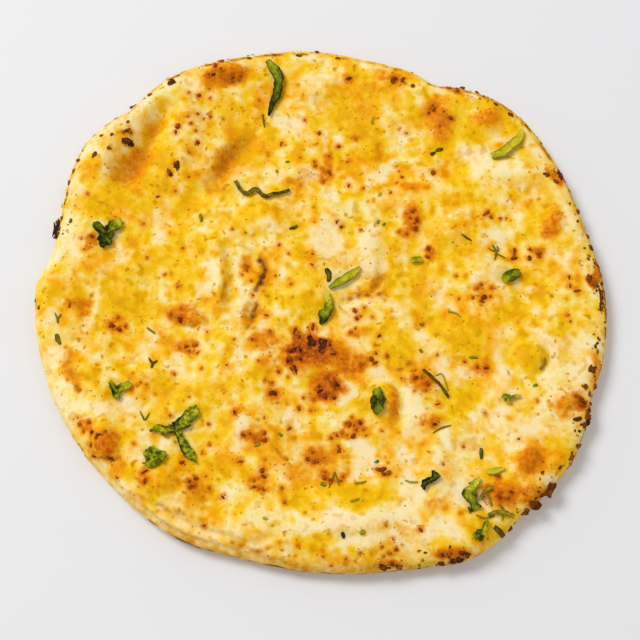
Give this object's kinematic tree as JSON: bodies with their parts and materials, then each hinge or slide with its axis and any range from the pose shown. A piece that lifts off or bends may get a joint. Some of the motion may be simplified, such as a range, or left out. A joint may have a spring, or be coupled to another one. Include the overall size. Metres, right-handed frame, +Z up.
{
  "type": "garlic naan",
  "caption": "Round hand-stretched flatbread with a puffed rim, blisters, baked-in garlic bits and chopped coriander leaves lying on top.",
  "frame": {"origin": "under the middle of the bread, on the surface that it lies on", "axes": "+Z up through the bread, +X along its longer way across, -Y towards the side seen nearest"},
  "size_m": [0.2584, 0.2519, 0.0186],
  "materials": {
    "crust": "satin, buttered",
    "leaf": "satin",
    "toasted_leaf": "matte",
    "stem": "matte"
  },
  "bodies": {
    "root": {"naan_bread": "crust", "leaf_back_strip": "leaf", "leaf_blister": "leaf", "leaf_centre_blade": "leaf", "leaf_centre_tail": "leaf", "leaf_curled": "leaf", "leaf_dark_flake": "toasted_leaf", "leaf_front_hook": "leaf", "leaf_front_light": "leaf", "leaf_front_oval": "leaf", "leaf_left_pair": "leaf", "leaf_right_oval": "leaf", "leaf_right_strip": "leaf", "leaf_small_oval": "leaf", "leaf_trefoil": "leaf", "leaf_triangle": "leaf", "leaf_vee": "leaf", "stem_curly": "stem", "stem_front_fork": "stem", "stem_front_hook": "stem", "stem_front_twig": "stem", "stem_thin": "stem"}
  },
  "joints": []
}
